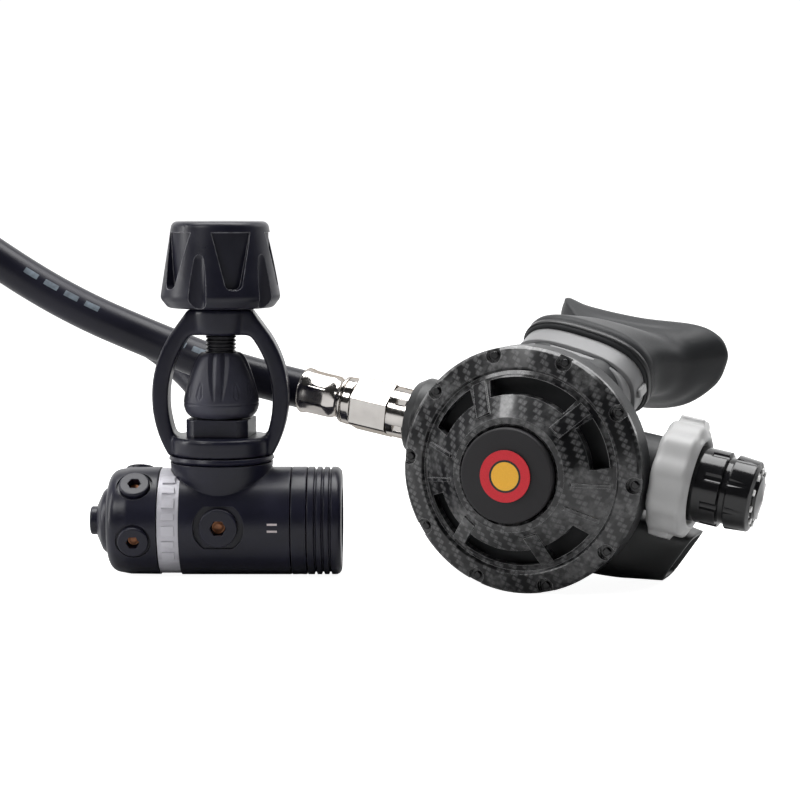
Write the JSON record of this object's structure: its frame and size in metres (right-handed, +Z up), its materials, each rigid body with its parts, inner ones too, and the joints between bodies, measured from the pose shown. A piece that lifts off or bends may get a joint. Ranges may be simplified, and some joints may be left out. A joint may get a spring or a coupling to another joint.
{
  "type": "scuba regulator set",
  "caption": "Yoke first stage with a swivelling turret, a low-pressure hose and a round demand second stage with purge button, mouthpiece and side controls.",
  "frame": {"origin": "on the table, under the middle of the first and second stage without the hose", "axes": "+Z up along the yoke screw, +X along the first stage barrel towards the second stage, -Y is the front that the cover faces"},
  "size_m": [0.375, 0.2922, 0.1647],
  "materials": {
    "black_anodised": "satin black coated brass",
    "trim_silver": "satin silver",
    "screw_black": "black coated steel",
    "knob_rubber": "soft-touch moulded black",
    "cap_rubber": "moulded black rubber",
    "hose_rubber": "smooth black hose",
    "chrome": "polished plated brass",
    "steel": "stainless",
    "brass": "machined brass",
    "silicone": "matte black silicone",
    "case_grey": "dark grey moulded",
    "black_plastic": "moulded black",
    "carbon_print": "twill carbon pattern under clear coat",
    "gloss_black": "glossy moulded black",
    "button_black": "fine matte black",
    "emblem": "two-colour plain disc",
    "dots_white": "pale inlays",
    "collar_grey": "light grey moulded",
    "clamp_tie": "nylon tie"
  },
  "bodies": {
    "first_stage": {"first_stage_body": "black_anodised", "trim_band": "trim_silver", "diaphragm_clamp": "black_anodised", "environmental_cap": "black_anodised", "environmental_seal": "silicone", "main_diaphragm": "silicone", "main_spring": "steel", "spring_adjuster": "brass", "crown_seat": "brass", "poppet_spring": "steel", "turret_bolt": "black_anodised", "end_port_plug": "black_anodised", "high_pressure_plugs": "black_anodised", "yoke_collar": "black_anodised", "yoke_frame": "black_anodised", "yoke_retainer": "black_anodised", "inlet_filter": "brass", "filter_clip": "steel"},
    "valve_train": {"spring_pad": "steel", "lift_pin": "steel", "high_pressure_poppet": "brass"},
    "turret": {"turret": "black_anodised", "low_pressure_plugs": "black_anodised", "hose_fitting": "chrome", "first_ferrule": "chrome", "hose": "hose_rubber", "second_ferrule": "chrome", "hose_collar": "chrome"},
    "dust_cap": {"dust_cap": "cap_rubber"},
    "yoke_screw": {"yoke_screw": "screw_black", "yoke_knob": "knob_rubber"},
    "second_stage": {"swivel_nut": "chrome", "lock_nut": "chrome", "inlet_collar": "black_plastic", "second_stage_case": "case_grey", "valve_barrel": "brass", "orifice": "brass", "demand_spring": "steel", "exhaust_valve": "silicone", "exhaust_tee": "black_plastic", "front_cover": "carbon_print", "cover_pins": "gloss_black", "purge_spring": "steel", "demand_diaphragm": "silicone", "mouthpiece": "silicone", "mouthpiece_clamp": "clamp_tie"},
    "purge_button": {"purge_button": "button_black", "button_emblem": "emblem"},
    "diaphragm_disc": {"diaphragm_disc": "steel"},
    "demand_lever": {"demand_lever": "steel"},
    "demand_poppet": {"demand_poppet": "black_plastic"},
    "venturi_collar": {"venturi_collar": "collar_grey", "venturi_vane": "black_plastic"},
    "adjusting_knob": {"adjusting_knob": "gloss_black", "adjusting_screw": "black_plastic", "knob_end_cap": "gloss_black", "knob_dots": "dots_white"}
  },
  "joints": [
    {"name": "valve_lift", "type": "slide", "parent": "first_stage", "child": "valve_train", "axis": [1, 0, 0], "range_m": [0, 0.00035], "stiffness_N_per_m": 4000, "springref_m": -0.0005},
    {"name": "turret_swivel", "type": "hinge", "parent": "first_stage", "child": "turret", "pos_m": [-0.0963, 0.0025, 0.0185], "axis": [1, 0, 0], "range_deg": [-180, 0]},
    {"name": "dust_cap_lift", "type": "slide", "parent": "first_stage", "child": "dust_cap", "axis": [0, 0, 1], "range_m": [0, 0.0055]},
    {"name": "yoke_screw_turn", "type": "hinge", "parent": "dust_cap", "child": "yoke_screw", "pos_m": [-0.0677, 0.0025, 0.068], "axis": [0, 0, 1], "range_deg": [0, 1584]},
    {"name": "hose_swivel", "type": "hinge", "parent": "turret", "child": "second_stage", "pos_m": [-0.02091, 0.01061, 0.0583], "axis": [0.9148, -0.3604, -0.1822], "continuous": true},
    {"name": "purge_press", "type": "slide", "parent": "second_stage", "child": "purge_button", "axis": [0.3665, 0.9304, 0], "range_m": [0, 0.003], "stiffness_N_per_m": 900, "springref_m": -0.001},
    {"name": "diaphragm_move", "type": "slide", "parent": "second_stage", "child": "diaphragm_disc", "axis": [0.3665, 0.9304, 0], "range_m": [0, 0.003]},
    {"name": "lever_tilt", "type": "hinge", "parent": "second_stage", "child": "demand_lever", "pos_m": [0.05373, -0.02525, 0.04299], "axis": [-0.1696, 0.0668, -0.9833], "range_deg": [0, 10]},
    {"name": "poppet_slide", "type": "slide", "parent": "second_stage", "child": "demand_poppet", "axis": [0.9148, -0.3604, -0.1822], "range_m": [0, 0.0011]},
    {"name": "venturi_turn", "type": "hinge", "parent": "second_stage", "child": "venturi_collar", "pos_m": [0.08612, -0.03156, 0.03698], "axis": [0.9148, -0.3604, -0.1822], "range_deg": [0, 60]},
    {"name": "effort_knob_turn", "type": "hinge", "parent": "second_stage", "child": "adjusting_knob", "pos_m": [0.09619, -0.03552, 0.03497], "axis": [0.9148, -0.3604, -0.1822], "range_deg": [-540, 540]}
  ],
  "couplings": [
    {"joint": "yoke_screw_turn", "follows": "dust_cap_lift", "rad_per_m": 5026.5},
    {"joint": "diaphragm_move", "follows": "purge_press", "ratio": 1},
    {"joint": "lever_tilt", "follows": "purge_press", "rad_per_m": 55},
    {"joint": "poppet_slide", "follows": "purge_press", "ratio": 0.3333}
  ]
}
